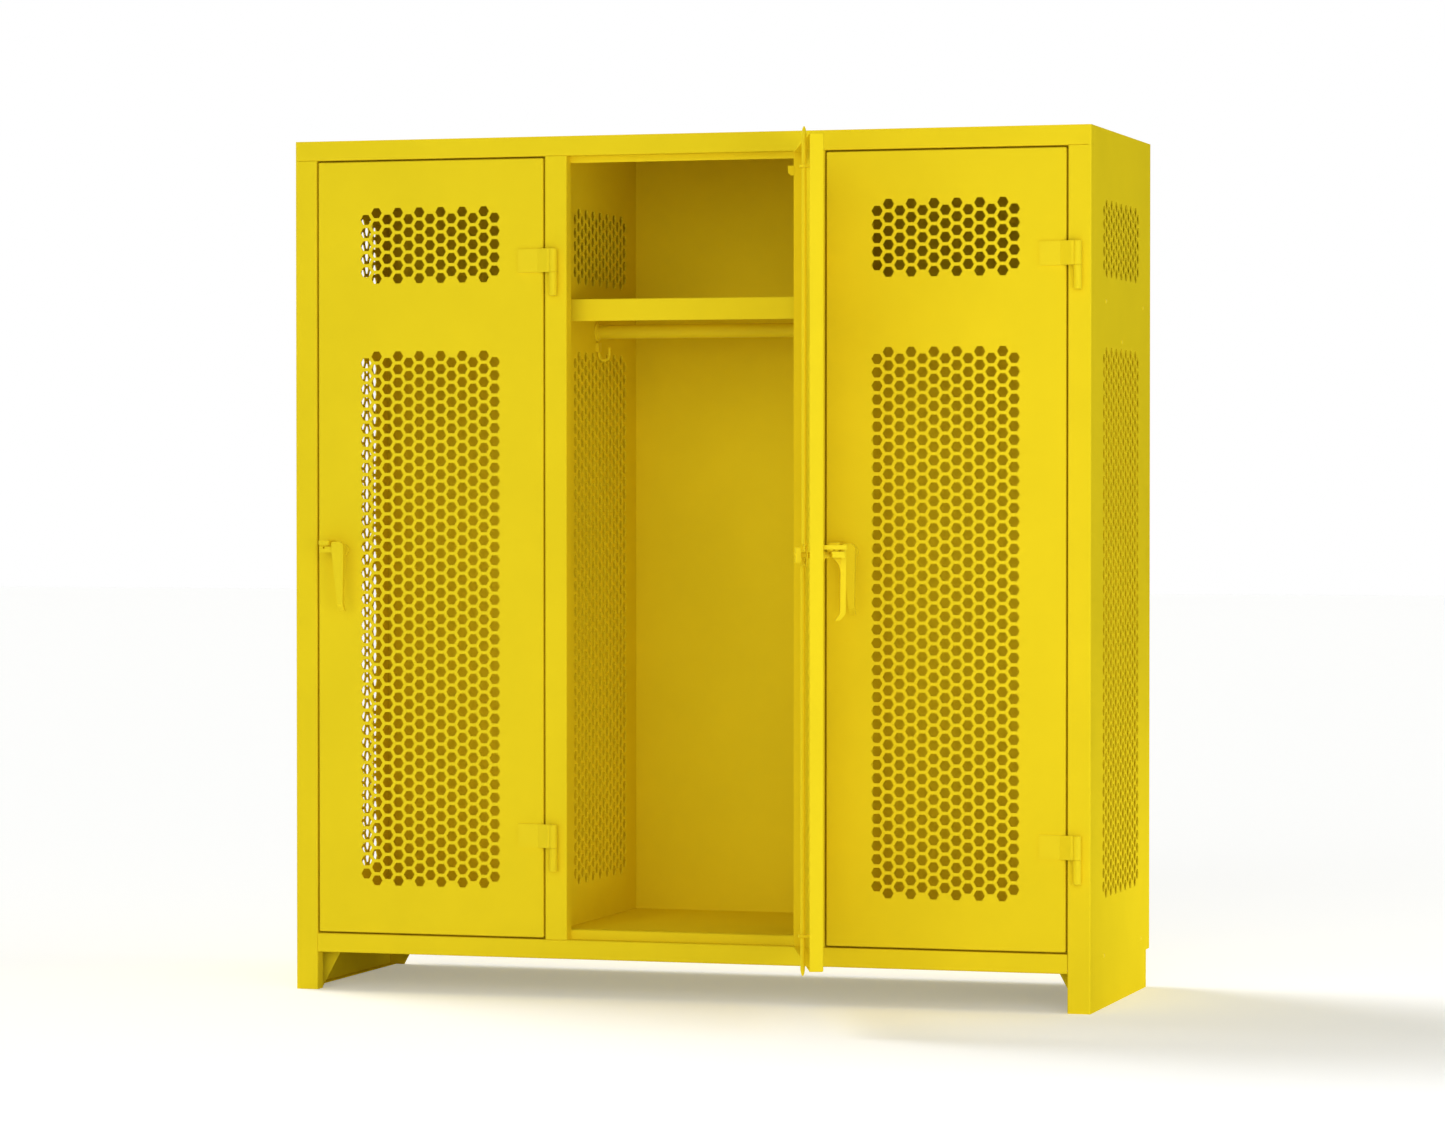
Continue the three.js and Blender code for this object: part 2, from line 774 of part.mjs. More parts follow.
// Everything that is fixed to the cabinet.
function cabinet() {
  const group = new THREE.Group();
  const add = (name, body, look = sheetPaint) => group.add(piece(name, body, look));
  add("side_panel_left", sidePanel(0));
  add("side_panel_right", sidePanel(width - sheet));
  add("partition_left", partition(1));
  add("partition_right", partition(2));
  add("back_panel", backPanel());
  add("top_panel", topPanel());
  add("floor_panel", floorPanel());
  add("top_rail", topRail());
  add("bottom_rail", bottomRail());
  add("stile_left", stile(0));
  add("stile_mid_left", stile(1));
  add("stile_mid_right", stile(2));
  add("stile_right", stile(3));
  add("leg_brace_left", legBrace(-1));
  add("leg_brace_right", legBrace(1));
  places.forEach((place, index) => {
    add("shelf_" + place, shelf(index));
    add("coat_rod_" + place, coatRod(index), hardwarePaint);
    add("coat_hook_" + place, coatHook(index), hardwarePaint);
    add("hinge_pin_" + place + "_upper", hingePin(index, upperHingeSplit), hardwarePaint);
    add("hinge_pin_" + place + "_lower", hingePin(index, lowerHingeSplit), hardwarePaint);
  });
  return group;
}

// A door with its hinge leaves, hasp and latch, turned about its pin by an angle in degrees.
function door(place, index, angle) {
  const hung = new THREE.Group();
  const add = (name, body, look = hardwarePaint) => hung.add(piece(name, body, look));
  add("door_" + place, doorPan(), sheetPaint);
  add("hinge_leaf_" + place + "_upper", hingeLeaf(upperHingeSplit));
  add("hinge_leaf_" + place + "_lower", hingeLeaf(lowerHingeSplit));
  add("hasp_" + place, hasp());
  add("lever_" + place, lever());
  add("cam_" + place, cam());
  add("latch_rod_" + place + "_upper", latchRod(-1));
  add("latch_rod_" + place + "_lower", latchRod(1));
  add("rod_guide_" + place + "_upper", rodGuide(-1));
  add("rod_guide_" + place + "_lower", rodGuide(1));
  hung.position.set(-doorWidth - pinOffset, pinStandoff, 0);
  const pivot = new THREE.Group();
  pivot.add(hung);
  pivot.position.set(openingLeft(index) + doorGap + doorWidth + pinOffset, -pinStandoff, 0);
  pivot.rotation.z = radians(angle);
  return pivot;
}

const locker = new THREE.Group();
locker.add(cabinet());
places.forEach((place, index) => locker.add(door(place, index, restAngles[index])));
locker.updateMatrixWorld(true);
const footprint = new THREE.Box3().setFromObject(locker).getCenter(new THREE.Vector3());
locker.position.set(-footprint.x, -footprint.y, 0);

export default locker;
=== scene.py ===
"""Dresses the locker: vents, folded sheets, whole hinges and latches, paint, light and camera.

All lengths are in metres, in the frame's own axes: X along the front, Y into the depth, Z up.
"""
import json
import math

import bmesh
import bpy
from mathutils import Matrix, Vector
from mathutils.geometry import tessellate_polygon


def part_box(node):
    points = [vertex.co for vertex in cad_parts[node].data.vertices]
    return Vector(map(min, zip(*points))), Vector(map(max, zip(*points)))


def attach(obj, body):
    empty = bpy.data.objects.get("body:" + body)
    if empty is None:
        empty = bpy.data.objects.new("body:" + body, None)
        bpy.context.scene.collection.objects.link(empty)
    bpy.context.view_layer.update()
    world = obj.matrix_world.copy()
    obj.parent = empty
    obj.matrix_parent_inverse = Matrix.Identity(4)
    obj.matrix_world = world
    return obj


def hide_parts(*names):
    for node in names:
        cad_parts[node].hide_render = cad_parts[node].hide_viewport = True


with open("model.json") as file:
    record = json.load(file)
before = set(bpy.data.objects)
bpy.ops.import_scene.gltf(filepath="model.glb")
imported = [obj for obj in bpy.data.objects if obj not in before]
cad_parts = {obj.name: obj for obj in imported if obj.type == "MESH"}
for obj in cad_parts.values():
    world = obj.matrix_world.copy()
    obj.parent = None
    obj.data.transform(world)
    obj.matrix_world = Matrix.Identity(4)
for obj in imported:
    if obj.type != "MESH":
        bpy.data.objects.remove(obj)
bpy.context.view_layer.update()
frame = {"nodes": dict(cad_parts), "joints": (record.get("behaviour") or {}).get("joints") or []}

MM = 0.001
PLACES = ("left", "middle", "right")
STILES = ("left", "mid_left", "mid_right", "right")
ENDS = ("upper", "lower")

# Joints, from the frame
JOINTS = {joint["name"]: joint for joint in frame["joints"]}
PINS = {place: Vector(JOINTS[place + "_door_hinge"]["pos_m"]) for place in PLACES}
BAYS = [PINS[place].x - PINS["left"].x for place in PLACES]
HUB = Vector(JOINTS["left_lever_turn"]["pos_m"])

# Main faces and edges of the cabinet, from the frame
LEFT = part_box("side_panel_left")[0].x
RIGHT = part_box("side_panel_right")[1].x
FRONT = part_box("stile_left")[0].y
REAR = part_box("side_panel_left")[1].y
DOOR_LOW, DOOR_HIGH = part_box("door_left")
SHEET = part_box("side_panel_left")[1].x - LEFT

# Vents: each field is the drop of its middle below the door's top, and its rows
VENT_FLATS = 22 * MM
VENT_COLUMN_PITCH = 25.4 * MM
VENT_ROW_PITCH = 2 * VENT_COLUMN_PITCH / math.sqrt(3)
DOOR_VENT_COLUMNS = 13
SIDE_VENT_COLUMNS = 15
VENT_FIELDS = ((188.4 * MM, 6), (1021.9 * MM, 41))
HEXAGON_SIDES = 6

# Folds and edges
DOOR_DEPTH = 28.5 * MM
BEND = 3.4 * MM
BEND_STEPS = 4
EDGE = 0.7 * MM
EDGE_STEPS = 2
SMOOTH_ANGLE = math.radians(36)
EDGE_ANGLE = math.radians(40)

# Gap or overlap between pieces that meet, and distances at which points are joined
HAIR = 0.3 * MM
JOIN = 0.005 * MM
SHEET_JOIN = 0.02 * MM
CELL_GRID = 0.1 * MM

# Latch and hinge sizes that more than one piece uses
PADLOCK_RADIUS = 5.2 * MM
PADLOCK_INSET = 14 * MM
CRANK = 15 * MM
BARREL = 9 * MM
HINGE_BORE = 5.4 * MM
HINGE_SOFT = 0.8 * MM

# Paint colours are scene-linear
SHEET_YELLOW = (0.9, 0.7, 0.0165)
HARDWARE_YELLOW = (0.9, 0.705, 0.0165)
TONE_STOPS = (0.3, 0.7)
TONE_SHARES = (0.975, 1.02)
GLOSS_CHANGE = 0.05
PEEL_STRENGTH = 0.12
PEEL_HEIGHT = 0.1 * MM

# Scale and detail of each noise
TONE_NOISE = (5, 3)
GLOSS_NOISE = (60, 4)
PEEL_NOISE = (650, 2)

# Background and floor
SOFT_LIGHT = 0.255
FLOOR_SIZE = 40
FLOOR_COLOUR = (0.955, 0.955, 0.98, 1)
FLOOR_LIFT = (0.262, 0.264, 0.232, 1)
FLOOR_ROUGHNESS = 0.9

# Camera, fitted to the photo: its place is from the cabinet's lower left front corner
CAMERA_PLACE = Vector((3982.4, -9889.5, 1124.8)) * MM
CAMERA_LENS = 117.573
CAMERA_SENSOR = 36
CAMERA_REACH = 100
CAMERA_DIP = 0.9785
CAMERA_TURN = 16.770


# Small helpers for meshes

def new_object(name, data):
    """An object in the scene that carries the data."""
    obj = bpy.data.objects.new(name, data)
    bpy.context.scene.collection.objects.link(obj)
    return obj


def mesh_from(name, bm):
    """A mesh that takes over what a bmesh holds."""
    mesh = bpy.data.meshes.new(name)
    bm.to_mesh(mesh)
    bm.free()
    return mesh


def smoothed(mesh):
    """Shades a mesh smooth, except over its hard edges."""
    for face in mesh.polygons:
        face.use_smooth = True
    mesh.set_sharp_from_angle(angle=SMOOTH_ANGLE)
    return mesh


def baked(name, bm):
    """A finished mesh from a bmesh, its points joined and its faces turned outwards."""
    bmesh.ops.remove_doubles(bm, verts=bm.verts, dist=JOIN)
    bmesh.ops.recalc_face_normals(bm, faces=bm.faces)
    return smoothed(mesh_from(name, bm))


def merged(name, *meshes):
    """One mesh from several finished ones."""
    bm = bmesh.new()
    for mesh in meshes:
        bm.from_mesh(mesh)
    return smoothed(mesh_from(name, bm))


def soften(obj, width):
    """Rounds the hard edges a little, if a width is given, and keeps the flat faces flat."""
    if width:
        bevel = obj.modifiers.new("edges", "BEVEL")
        bevel.width = width
        bevel.segments = EDGE_STEPS
        bevel.limit_method = "ANGLE"
        bevel.angle_limit = EDGE_ANGLE
        bevel.harden_normals = True
    normals = obj.modifiers.new("normals", "WEIGHTED_NORMAL")
    normals.keep_sharp = True


def in_plan(x, y, along):
    """A section drawn in plan and swept upwards."""
    return Vector((x, y, along))


def in_profile(y, z, along):
    """A section drawn from the side and swept along the front."""
    return Vector((along, y, z))


def in_elevation(x, z, along):
    """An outline drawn from the front and swept into the depth."""
    return Vector((x, along, z))


def along_z(x, y):
    """Stands a turned piece upright at a place in plan."""
    return Matrix.Translation((x, y, 0))


def along_y(x, z):
    """Lays a turned piece into the depth, at a place seen from the front."""
    return Matrix.Translation((x, 0, z)) @ Matrix.Rotation(-math.pi / 2, 4, "X")


def along_x(y, z):
    """Lays a turned piece along the front, at a place seen from the side."""
    return Matrix.Translation((0, y, z)) @ Matrix.Rotation(math.pi / 2, 4, "Y")


def sheet_section(path, thickness, bend):
    """Both outlines of a sheet folded along a path; the thickness lies to the left of the path."""
    points = [Vector(p) for p in path]
    legs = [(b - a).normalized() for a, b in zip(points, points[1:])]
    near = [points[0]]
    far = [points[0] + legs[0].orthogonal() * thickness]
    for point, leg, following in zip(points[1:], legs, legs[1:]):
        turn = math.atan2(leg.x * following.y - leg.y * following.x, leg.dot(following))
        side = math.copysign(1, turn)
        radius = bend if side > 0 else bend - thickness
        normal = leg.orthogonal()
        centre = point - leg * radius * math.tan(abs(turn) / 2) + normal * side * radius
        for step in range(BEND_STEPS + 1):
            spoke = -normal * side
            spoke.rotate(Matrix.Rotation(turn * step / BEND_STEPS, 2))
            near.append(centre + spoke * radius)
            far.append(centre + spoke * (radius - side * thickness))
    near.append(points[-1])
    far.append(points[-1] + legs[-1].orthogonal() * thickness)
    return near, far


def fold(name, path, spans, place, thickness=SHEET, bend=BEND):
    """A folded sheet swept over one or more spans; a span may bring a path of its own."""
    bm = bmesh.new()
    for start, end, *own in spans:
        near, far = sheet_section(own[0] if own else path, thickness, bend)
        rings = [
            [[bm.verts.new(place(p.x, p.y, along)) for p in line] for line in (near, far)]
            for along in (start, end)
        ]
        last = len(near) - 1
        for i in range(last):
            for line in (0, 1):
                a, b = rings[0][line], rings[1][line]
                bm.faces.new((a[i], a[i + 1], b[i + 1], b[i]))
            for ring in rings:
                bm.faces.new((ring[0][i], ring[0][i + 1], ring[1][i + 1], ring[1][i]))
        for i in (0, last):
            bm.faces.new((rings[0][0][i], rings[0][1][i], rings[1][1][i], rings[1][0][i]))
    bmesh.ops.recalc_face_normals(bm, faces=bm.faces)
    return smoothed(mesh_from(name, bm))


def arc(centre, radius, start, end, steps):
    """Points on an arc, its angles in degrees."""
    angles = [math.radians(start + (end - start) * i / steps) for i in range(steps + 1)]
    return [Vector((centre[0] + radius * math.cos(a), centre[1] + radius * math.sin(a))) for a in angles]


def drilled(centre, radius):
    """Points round a hole, taken the other way round than an outline."""
    steps = 24
    return arc(centre, radius, 360, 360 / steps, steps - 1)


def rounded_rectangle(x0, x1, y0, y1, radius):
    """The outline of a rectangle with round corners."""
    corners = (
        (x1 - radius, y0 + radius, -90),
        (x1 - radius, y1 - radius, 0),
        (x0 + radius, y1 - radius, 90),
        (x0 + radius, y0 + radius, 180),
    )
    steps = 6
    return [p for x, y, start in corners for p in arc((x, y), radius, start, start + 90, steps)]


def plate(name, outline, holes, place, start, end):
    """A flat plate with holes, drawn in one plane and swept between two places."""
    bm = bmesh.new()
    loops = [outline, *holes]
    points = [p for loop in loops for p in loop]
    triangles = tessellate_polygon([[Vector((p[0], p[1], 0)) for p in loop] for loop in loops])
    layers = [[bm.verts.new(place(p[0], p[1], along)) for p in points] for along in (start, end)]
    for layer in layers:
        for triangle in triangles:
            bm.faces.new([layer[i] for i in triangle])
    first = 0
    for loop in loops:
        ring = list(range(first, first + len(loop)))
        for a, b in zip(ring, ring[1:] + ring[:1]):
            bm.faces.new((layers[0][a], layers[0][b], layers[1][b], layers[1][a]))
        first += len(loop)
    return baked(name, bm)


def turned(name, profile, matrix, segments=40):
    """A round piece from (radius, height) points, closed where the radius is zero.

    Before the matrix its axis is Z.
    """
    bm = bmesh.new()
    angles = [2 * math.pi * i / segments for i in range(segments)]
    rings = []
    for radius, height in profile:
        if radius == 0:
            rings.append([bm.verts.new((0, 0, height))])
        else:
            circle = [(radius * math.cos(a), radius * math.sin(a), height) for a in angles]
            rings.append([bm.verts.new(point) for point in circle])
    if profile[0][0]:
        rings.append(rings[0])
    for low, high in zip(rings, rings[1:]):
        for i in range(segments):
            j = (i + 1) % segments
            corners = [low[i % len(low)], low[j % len(low)], high[j % len(high)], high[i % len(high)]]
            bm.faces.new(list(dict.fromkeys(corners)))
    bmesh.ops.transform(bm, matrix=matrix, verts=bm.verts)
    return baked(name, bm)


def bar_profile(radius, start, end, chamfer):
    """The profile of a round bar with a chamfer at each end."""
    return [
        (0, start),
        (radius - chamfer, start),
        (radius, start + chamfer),
        (radius, end - chamfer),
        (radius - chamfer, end),
        (0, end),
    ]


def tube_mesh(name, route, radius):
    """A round wire along a route that lies in one plane across the depth."""
    segments = 16
    angles = [2 * math.pi * k / segments for k in range(segments)]
    bm = bmesh.new()
    rings = []
    for i, point in enumerate(route):
        ahead = (route[min(i + 1, len(route) - 1)] - route[max(i - 1, 0)]).normalized()
        side = Vector((0, 1, 0))
        up = ahead.cross(side)
        spokes = [(side * math.cos(a) + up * math.sin(a)) * radius for a in angles]
        rings.append([bm.verts.new(point + spoke) for spoke in spokes])
    for low, high in zip(rings, rings[1:]):
        for k in range(segments):
            j = (k + 1) % segments
            bm.faces.new((low[k], low[j], high[j], high[k]))
    for ring in (rings[0], rings[-1]):
        bm.faces.new(ring)
    return baked(name, bm)


def add_cuboid(bm, low, high):
    """Puts a cuboid between two corners into a bmesh."""
    middle = (low + high) / 2
    size = high - low
    bmesh.ops.create_cube(bm, size=1, matrix=Matrix.Translation(middle) @ Matrix.Diagonal((*size, 1)))


def block(name, low, high):
    """A cuboid between two corners."""
    bm = bmesh.new()
    add_cuboid(bm, Vector(low), Vector(high))
    return baked(name, bm)


# Vented sheets

def hexagon(centre, flats):
    """Corners of a hexagon with a flat top and bottom."""
    corner_turn = 360 / HEXAGON_SIDES
    return arc(centre, flats / math.sqrt(3), 0, 360 - corner_turn, HEXAGON_SIDES - 1)


def vent_centres(middle, columns):
    """Centres of all holes of a panel, field by field; every second column holds one more hole."""
    fields = []
    for drop, rows in VENT_FIELDS:
        field = []
        for column in range(columns):
            count = rows if column % 2 else rows - 1
            across = middle + (column - (columns - 1) / 2) * VENT_COLUMN_PITCH
            for row in range(count):
                up = DOOR_HIGH.z - drop + (row - (count - 1) / 2) * VENT_ROW_PITCH
                field.append((across, up))
        fields.append(field)
    return fields


def grid_key(point, places):
    """The key of a point on a fine grid, or that of a known point right beside it."""
    x = round(point.x / CELL_GRID)
    y = round(point.y / CELL_GRID)
    near = ((x + i, y + j) for i in (0, -1, 1) for j in (0, -1, 1))
    return next((key for key in near if key in places), (x, y))


def field_edge(field):
    """The outer edge of a field of cells, as one loop of points."""
    sides = set()
    places = {}
    for centre in field:
        keys = []
        for point in hexagon(centre, VENT_ROW_PITCH):
            key = grid_key(point, places)
            places.setdefault(key, point)
            keys.append(key)
        for a, b in zip(keys, keys[1:] + keys[:1]):
            if (b, a) in sides:
                sides.remove((b, a))
            else:
                sides.add((a, b))
    following = dict(sides)
    start = next(iter(following))
    at = start
    loop = []
    while True:
        loop.append(places[at])
        at = following[at]
        if at == start:
            return loop


def vented(bm, outline, fields, place):
    """Fills an outline with a sheet that has a honeycomb of holes in each field."""
    edges = [field_edge(field) for field in fields]
    loops = [[Vector(p) for p in outline], *edges]
    points = [p for loop in loops for p in loop]
    verts = [bm.verts.new(place(p.x, p.y)) for p in points]
    for triangle in tessellate_polygon([[p.to_3d() for p in loop] for loop in loops]):
        bm.faces.new([verts[i] for i in triangle])
    for field in fields:
        for centre in field:
            cell = [bm.verts.new(place(*p)) for p in hexagon(centre, VENT_ROW_PITCH)]
            hole = [bm.verts.new(place(*p)) for p in hexagon(centre, VENT_FLATS)]
            for i in range(HEXAGON_SIDES):
                j = (i + 1) % HEXAGON_SIDES
                bm.faces.new((cell[i], cell[j], hole[j], hole[i]))


def thickened(name, bm, outward):
    """Joins an open sheet and gives it its thickness, away from the outward side."""
    bmesh.ops.remove_doubles(bm, verts=bm.verts, dist=SHEET_JOIN)
    bmesh.ops.recalc_face_normals(bm, faces=bm.faces)
    facing = 0.9
    skin = max(bm.faces, key=lambda f: f.calc_area() if abs(f.normal.dot(outward)) > facing else 0)
    if skin.normal.dot(outward) < 0:
        bmesh.ops.reverse_faces(bm, faces=bm.faces)
    maker = new_object(name + "_maker", mesh_from(name, bm))
    shell = maker.modifiers.new("sheet", "SOLIDIFY")
    shell.thickness = SHEET
    shell.offset = -1
    shell.use_even_offset = True
    graph = bpy.context.evaluated_depsgraph_get()
    solid = bpy.data.meshes.new_from_object(maker.evaluated_get(graph))
    bpy.data.objects.remove(maker)
    solid.name = name
    return smoothed(solid)


def wall_sheet(name, outline, x, outward):
    """A vented wall that stands across the front; outward is 1 or -1 along X."""
    middle = (FRONT + REAR) / 2
    bm = bmesh.new()
    vented(bm, outline, vent_centres(middle, SIDE_VENT_COLUMNS), lambda y, z: Vector((x, y, z)))
    return thickened(name, bm, Vector((outward, 0, 0)))


def door_tray():
    """The door: a tray with bent edges, its face filled with the two vent fields."""
    low = DOOR_LOW
    high = Vector((DOOR_HIGH.x, DOOR_LOW.y + DOOR_DEPTH, DOOR_HIGH.z))
    outward = Vector((0, -1, 0))
    bm = bmesh.new()
    add_cuboid(bm, low, high)
    facing = 0.5
    rear = [f for f in bm.faces if f.normal.dot(outward) < -facing]
    bmesh.ops.delete(bm, geom=rear, context="FACES_ONLY")
    bends = [e for e in bm.edges if len(e.link_faces) == 2]
    bmesh.ops.bevel(bm, geom=bends, offset=BEND, segments=BEND_STEPS, profile=0.5, affect="EDGES")
    face = max(bm.faces, key=lambda f: f.calc_area() if f.normal.dot(outward) > facing else 0)
    outline = [Vector((v.co.x, v.co.z)) for v in face.verts]
    bmesh.ops.delete(bm, geom=[face], context="FACES_ONLY")
    middle = (low.x + high.x) / 2
    vented(bm, outline, vent_centres(middle, DOOR_VENT_COLUMNS), lambda x, z: Vector((x, low.y, z)))
    return thickened("door_tray", bm, outward)


# Paint

def paint(name, colour, roughness, shine):
    """Smooth powder coat: faint change of tone, a little change of gloss, a fine orange-peel surface."""
    material = bpy.data.materials.new(name)
    material.use_nodes = True
    nodes, links = material.node_tree.nodes, material.node_tree.links
    shader = nodes["Principled BSDF"]
    place = nodes.new("ShaderNodeTexCoord")

    def noise(scale, detail):
        texture = nodes.new("ShaderNodeTexNoise")
        texture.inputs["Scale"].default_value = scale
        texture.inputs["Detail"].default_value = detail
        links.new(place.outputs["Object"], texture.inputs["Vector"])
        return texture.outputs["Fac"]

    tone = nodes.new("ShaderNodeValToRGB")
    for stop, position, share in zip(tone.color_ramp.elements, TONE_STOPS, TONE_SHARES):
        stop.position = position
        stop.color = (*(c * share for c in colour), 1)
    links.new(noise(*TONE_NOISE), tone.inputs["Fac"])
    links.new(tone.outputs["Color"], shader.inputs["Base Color"])

    gloss = nodes.new("ShaderNodeMapRange")
    gloss.inputs["To Min"].default_value = roughness - GLOSS_CHANGE
    gloss.inputs["To Max"].default_value = roughness + GLOSS_CHANGE
    links.new(noise(*GLOSS_NOISE), gloss.inputs["Value"])
    links.new(gloss.outputs["Result"], shader.inputs["Roughness"])

    peel = nodes.new("ShaderNodeBump")
    peel.inputs["Strength"].default_value = PEEL_STRENGTH
    peel.inputs["Distance"].default_value = PEEL_HEIGHT
    links.new(noise(*PEEL_NOISE), peel.inputs["Height"])
    links.new(peel.outputs["Normal"], shader.inputs["Normal"])
    shader.inputs["Specular IOR Level"].default_value = shine
    return material


SHEET_PAINT = paint("sheet_paint", SHEET_YELLOW, roughness=0.42, shine=0)
HARDWARE_PAINT = paint("hardware_paint", HARDWARE_YELLOW, roughness=0.36, shine=0.03)


def dress(name, mesh, body, nodes, matrix=Matrix.Identity(4), hardware=False, edge=0.0):
    """A finished piece that rides on a body and stands for CAD nodes."""
    obj = new_object(name, mesh)
    obj.matrix_world = matrix
    if not mesh.materials:
        mesh.materials.append(HARDWARE_PAINT if hardware else SHEET_PAINT)
    soften(obj, edge)
    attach(obj, body)
    if nodes:
        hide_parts(*nodes)


# Cabinet

def stiles():
    """Folded channels, open at the back."""
    for name in STILES:
        low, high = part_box("stile_" + name)
        path = ((low.x, high.y), (low.x, low.y), (high.x, low.y), (high.x, high.y))
        mesh = fold("stile_" + name, path, [(low.z, high.z)], in_plan)
        dress("folded_stile_" + name, mesh, "cabinet", ["stile_" + name])


def rail_spans(x0, x1, plain, lipped):
    """Stretches of a rail with their paths: lipped over a door opening, plain at a stile."""
    cuts = [x0]
    for name in STILES:
        low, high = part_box("stile_" + name)
        cuts += [x for x in (low.x, high.x) if x0 < x < x1]
    cuts.append(x1)
    middles = [(DOOR_LOW.x + DOOR_HIGH.x) / 2 + shift for shift in BAYS]
    spans = []
    for start, end in zip(cuts, cuts[1:]):
        over_door = any(start < middle < end for middle in middles)
        spans.append((start, end, lipped if over_door else plain))
    return spans


def top_rail():
    """A channel with a stop lip over each door, and a bend round each end."""
    low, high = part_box("top_rail")
    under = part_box("stile_left")[1].z + HAIR
    lip = high.y - SHEET
    corner = 8 * MM
    plain = ((low.y, high.z), (low.y, under), (high.y, under))
    lipped = ((low.y, high.z), (low.y, under), (lip, under), (lip, low.z))
    spans = rail_spans(low.x + corner, high.x - corner, plain, lipped)
    rail = fold("top_rail", plain, spans, in_profile)
    ends = []
    for outer, inner in ((low.x, low.x + corner), (high.x, high.x - corner)):
        path = [(outer, high.y), (outer, low.y), (inner, low.y)]
        if outer > inner:
            path.reverse()
        ends.append(fold("top_rail_end", path, [(under, high.z)], in_plan))
        base_low = (min(outer, inner) + SHEET / 2, low.y + SHEET, under)
        base_high = (max(outer, inner) - SHEET / 2, high.y, under + SHEET)
        ends.append(block("top_rail_end_base", base_low, base_high))
    dress("folded_top_rail", merged("top_rail", rail, *ends), "cabinet", ["top_rail"])


def bottom_rail():
    """A channel with a stop lip under each door."""
    low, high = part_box("bottom_rail")
    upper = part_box("stile_mid_left")[0].z - HAIR
    lip = high.y - SHEET
    plain = ((high.y, upper), (low.y, upper), (low.y, low.z), (high.y, low.z))
    lipped = ((lip, high.z), (lip, upper), (low.y, upper), (low.y, low.z), (high.y, low.z))
    mesh = fold("bottom_rail", plain, rail_spans(low.x, high.x, plain, lipped), in_profile)
    dress("folded_bottom_rail", mesh, "cabinet", ["bottom_rail"])


def side_panels():
    """Vented side panels, stepped up behind the foot."""
    low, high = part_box("side_panel_left")
    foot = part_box("leg_brace_left")[1].y + HAIR
    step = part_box("back_panel")[0].z
    outline = (
        (low.y, low.z),
        (foot, low.z),
        (foot, step),
        (high.y, step),
        (high.y, high.z),
        (low.y, high.z),
    )
    for name, x, outward in (("left", LEFT, -1), ("right", RIGHT, 1)):
        mesh = wall_sheet("side_" + name, outline, x, outward)
        dress("vented_side_" + name, mesh, "cabinet", ["side_panel_" + name])


def partitions():
    """Vented partitions, cut out at the upper front corner for the top rail."""
    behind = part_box("side_panel_left")[0].y
    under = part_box("stile_left")[1].z
    for name in ("left", "right"):
        low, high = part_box("partition_" + name)
        outline = (
            (low.y, low.z),
            (high.y, low.z),
            (high.y, high.z),
            (behind, high.z),
            (behind, under),
            (low.y, under),
        )
        mesh = wall_sheet("partition_" + name, outline, low.x, -1)
        dress("vented_partition_" + name, mesh, "cabinet", ["partition_" + name])


def rivet_group(name, places, turn):
    """Low domes at the given places, turned to stand on their sheet."""
    radius = 4.8 * MM
    rise = 2.4 * MM
    rim = 0.2 * MM
    sides = 20
    dome = [(radius * math.cos(a), rim + rise * math.sin(a)) for a in (0.4, 0.8, 1.2)]
    profile = [(0, 0), (radius, 0), (radius, rim), *dome, (0, rim + rise)]
    heads = [turned("rivet", profile, Matrix.Translation(place) @ turn, sides) for place in places]
    dress(name, merged(name, *heads), "cabinet", [], hardware=True)


def side_rivets():
    """Rivets on both sides, where shelf, coat rod and base are fastened."""
    shelf_low, shelf_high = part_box("shelf_left")
    rod_low, rod_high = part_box("coat_rod_left")
    base_low, base_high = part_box("floor_panel")
    shelf_drop = 16 * MM
    shelf_front_inset = 78 * MM
    shelf_rear_inset = 37.7 * MM
    rod_drop = 11 * MM
    rod_behind = 4.5 * MM
    base_front_drop = 34 * MM
    base_rear_drop = 33 * MM
    base_front_inset = 88.1 * MM
    base_rear_inset = 48.7 * MM
    places = (
        (shelf_low.y + shelf_front_inset, shelf_high.z - shelf_drop),
        (shelf_high.y - shelf_rear_inset, shelf_high.z - shelf_drop),
        (rod_high.y + rod_behind, rod_low.z - rod_drop),
        (base_low.y + base_front_inset, base_high.z - base_front_drop),
        (base_high.y - base_rear_inset, base_high.z - base_rear_drop),
    )
    for name, x, side in (("left", LEFT, -1), ("right", RIGHT, 1)):
        turn = Matrix.Rotation(side * math.pi / 2, 4, "Y")
        rivet_group("rivets_" + name, [(x, y, z) for y, z in places], turn)


def back_rivets():
    """Rivets down the back panel, at the partitions and near both edges."""
    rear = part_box("back_panel")[1].y
    edge_inset = 18 * MM
    count = 7
    lowest = 190 * MM
    highest = 1840 * MM
    columns = [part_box("partition_" + side)[0].x + SHEET / 2 for side in ("left", "right")]
    columns += [LEFT + edge_inset, RIGHT - edge_inset]
    rows = [lowest + i * (highest - lowest) / (count - 1) for i in range(count)]
    turn = Matrix.Rotation(-math.pi / 2, 4, "X")
    rivet_group("rivets_back", [(x, rear, z) for x in columns for z in rows], turn)


def shelves():
    """Sheets with a lip bent down at the front and the rear."""
    for place in PLACES:
        low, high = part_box("shelf_" + place)
        path = ((high.y, low.z), (high.y, high.z), (low.y, high.z), (low.y, low.z))
        mesh = fold("shelf_" + place, path, [(low.x, high.x)], in_profile)
        dress("folded_shelf_" + place, mesh, "cabinet", ["shelf_" + place])


